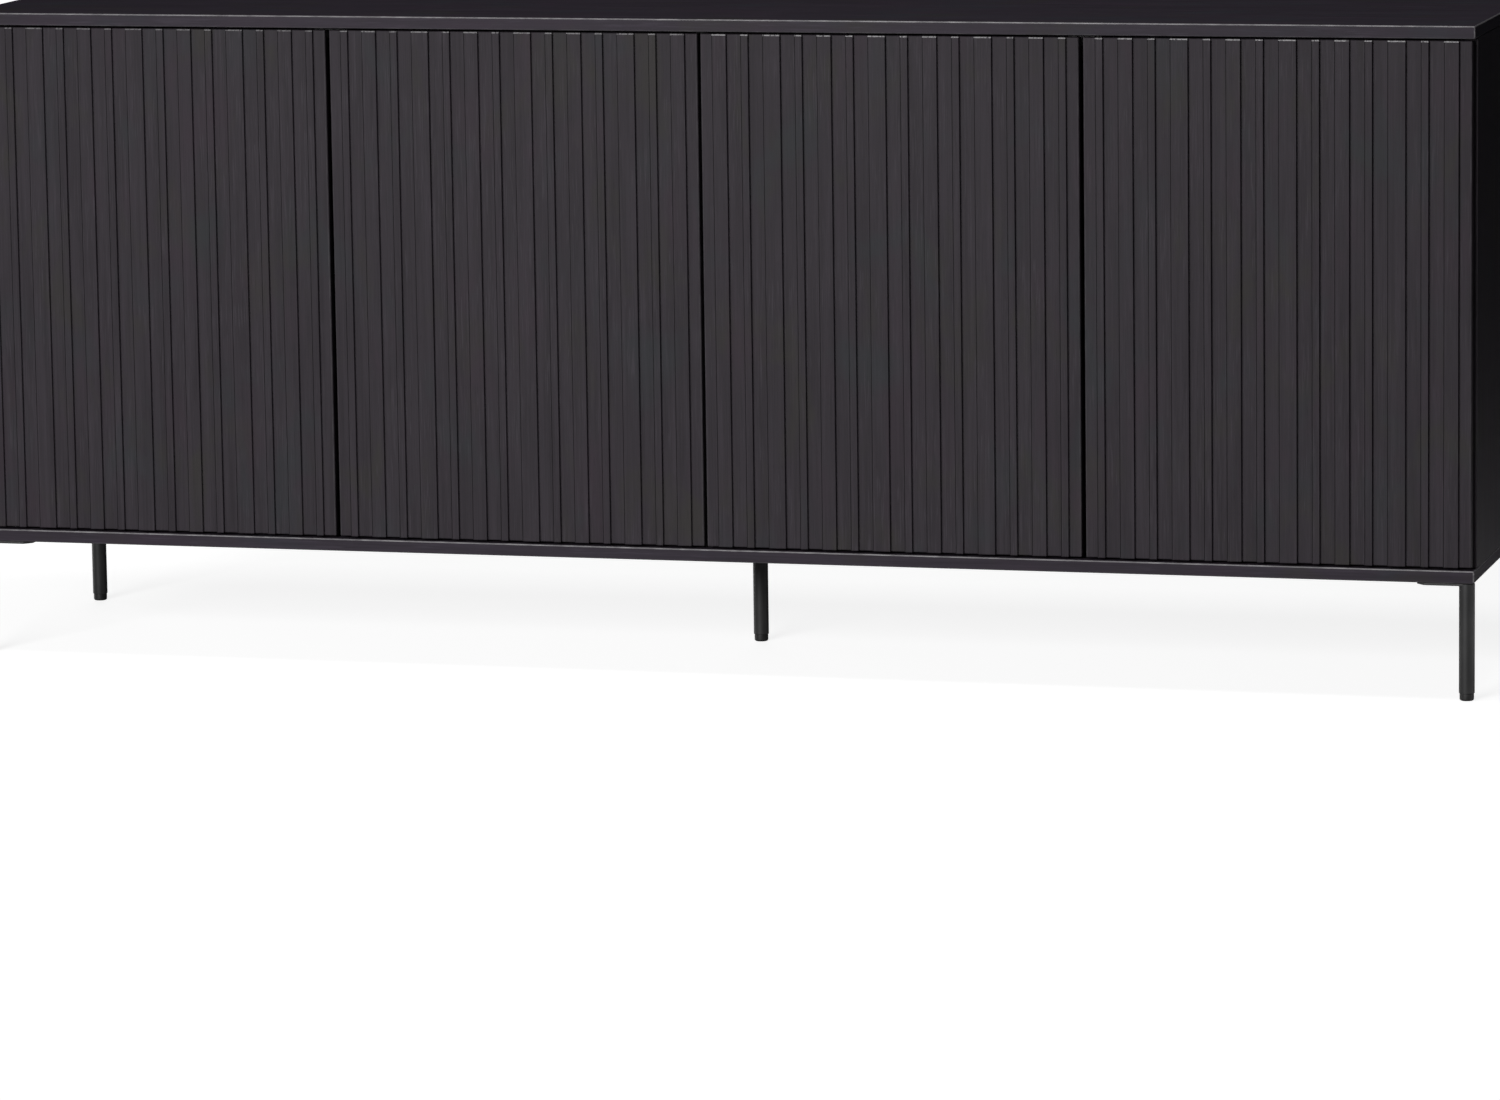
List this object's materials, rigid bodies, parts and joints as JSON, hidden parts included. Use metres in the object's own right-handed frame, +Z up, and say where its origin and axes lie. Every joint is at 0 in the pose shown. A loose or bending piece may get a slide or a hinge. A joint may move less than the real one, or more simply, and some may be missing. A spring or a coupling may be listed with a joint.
{
  "type": "sideboard buffet",
  "caption": "Long low sideboard with flat-topped black carcass, hinged ribbed doors without handles, inner shelves and slim round steel legs.",
  "frame": {"origin": "on the floor, under the middle of the carcass", "axes": "+X along the cabinet to the right as seen from the front, +Y to the back, +Z up; the doors face -Y"},
  "size_m": [2, 0.44, 0.85],
  "materials": {
    "cabinet_lacquer": "satin black lacquer over brushed wood",
    "interior_lacquer": "satin black lacquer",
    "back_board": "matt black board",
    "leg_coat": "satin black powder coat",
    "glide_plastic": "matt black",
    "hinge_steel": "nickel plated",
    "pin_steel": "nickel plated",
    "latch_plastic": "matt grey",
    "plunger_plastic": "matt grey"
  },
  "bodies": {
    "carcass": {"top_panel": "cabinet_lacquer", "bottom_panel": "cabinet_lacquer", "side_panel_left": "cabinet_lacquer", "side_panel_right": "cabinet_lacquer", "centre_partition": "interior_lacquer", "shelf_left": "interior_lacquer", "shelf_right": "interior_lacquer", "back_panel": "back_board", "leg_front_left": "leg_coat", "leg_front_right": "leg_coat", "leg_back_left": "leg_coat", "leg_back_right": "leg_coat", "leg_centre": "leg_coat", "leg_glide_front_left": "glide_plastic", "leg_glide_front_right": "glide_plastic", "leg_glide_back_left": "glide_plastic", "leg_glide_back_right": "glide_plastic", "leg_glide_centre": "glide_plastic", "shelf_pin_left_inner_front": "pin_steel", "shelf_pin_left_inner_back": "pin_steel", "shelf_pin_left_outer_front": "pin_steel", "shelf_pin_left_outer_back": "pin_steel", "shelf_pin_right_inner_front": "pin_steel", "shelf_pin_right_inner_back": "pin_steel", "shelf_pin_right_outer_front": "pin_steel", "shelf_pin_right_outer_back": "pin_steel", "latch_housing_left": "latch_plastic", "latch_housing_right": "latch_plastic", "hinge_arm_1_lower": "hinge_steel", "hinge_plate_1_lower": "hinge_steel", "hinge_arm_1_upper": "hinge_steel", "hinge_plate_1_upper": "hinge_steel", "hinge_arm_2_lower": "hinge_steel", "hinge_plate_2_lower": "hinge_steel", "hinge_arm_2_upper": "hinge_steel", "hinge_plate_2_upper": "hinge_steel", "hinge_arm_3_lower": "hinge_steel", "hinge_plate_3_lower": "hinge_steel", "hinge_arm_3_upper": "hinge_steel", "hinge_plate_3_upper": "hinge_steel", "hinge_arm_4_lower": "hinge_steel", "hinge_plate_4_lower": "hinge_steel", "hinge_arm_4_upper": "hinge_steel", "hinge_plate_4_upper": "hinge_steel"},
    "door_1": {"door_1": "cabinet_lacquer", "hinge_cup_1_lower": "hinge_steel", "hinge_cup_1_upper": "hinge_steel"},
    "door_2": {"door_2": "cabinet_lacquer", "hinge_cup_2_lower": "hinge_steel", "hinge_cup_2_upper": "hinge_steel"},
    "door_3": {"door_3": "cabinet_lacquer", "hinge_cup_3_lower": "hinge_steel", "hinge_cup_3_upper": "hinge_steel"},
    "door_4": {"door_4": "cabinet_lacquer", "hinge_cup_4_lower": "hinge_steel", "hinge_cup_4_upper": "hinge_steel"},
    "latch_plunger_left_left": {"latch_plunger_left_left": "plunger_plastic"},
    "latch_plunger_left_right": {"latch_plunger_left_right": "plunger_plastic"},
    "latch_plunger_right_left": {"latch_plunger_right_left": "plunger_plastic"},
    "latch_plunger_right_right": {"latch_plunger_right_right": "plunger_plastic"}
  },
  "joints": [
    {"name": "door_1_hinge", "type": "hinge", "parent": "carcass", "child": "door_1", "pos_m": [-0.9905, -0.2155, 0.5], "axis": [0, 0, -1], "range_deg": [0, 105]},
    {"name": "door_2_hinge", "type": "hinge", "parent": "carcass", "child": "door_2", "pos_m": [-0.007, -0.2155, 0.5], "axis": [0, 0, 1], "range_deg": [0, 90]},
    {"name": "door_3_hinge", "type": "hinge", "parent": "carcass", "child": "door_3", "pos_m": [0.007, -0.2155, 0.5], "axis": [0, 0, -1], "range_deg": [0, 90]},
    {"name": "door_4_hinge", "type": "hinge", "parent": "carcass", "child": "door_4", "pos_m": [0.9905, -0.2155, 0.5], "axis": [0, 0, 1], "range_deg": [0, 105]},
    {"name": "latch_press_left_left", "type": "slide", "parent": "carcass", "child": "latch_plunger_left_left", "axis": [0, -1, 0], "range_m": [-0.0025, 0], "stiffness_N_per_m": 300},
    {"name": "latch_press_left_right", "type": "slide", "parent": "carcass", "child": "latch_plunger_left_right", "axis": [0, -1, 0], "range_m": [-0.0025, 0], "stiffness_N_per_m": 300},
    {"name": "latch_press_right_left", "type": "slide", "parent": "carcass", "child": "latch_plunger_right_left", "axis": [0, -1, 0], "range_m": [-0.0025, 0], "stiffness_N_per_m": 300},
    {"name": "latch_press_right_right", "type": "slide", "parent": "carcass", "child": "latch_plunger_right_right", "axis": [0, -1, 0], "range_m": [-0.0025, 0], "stiffness_N_per_m": 300}
  ]
}
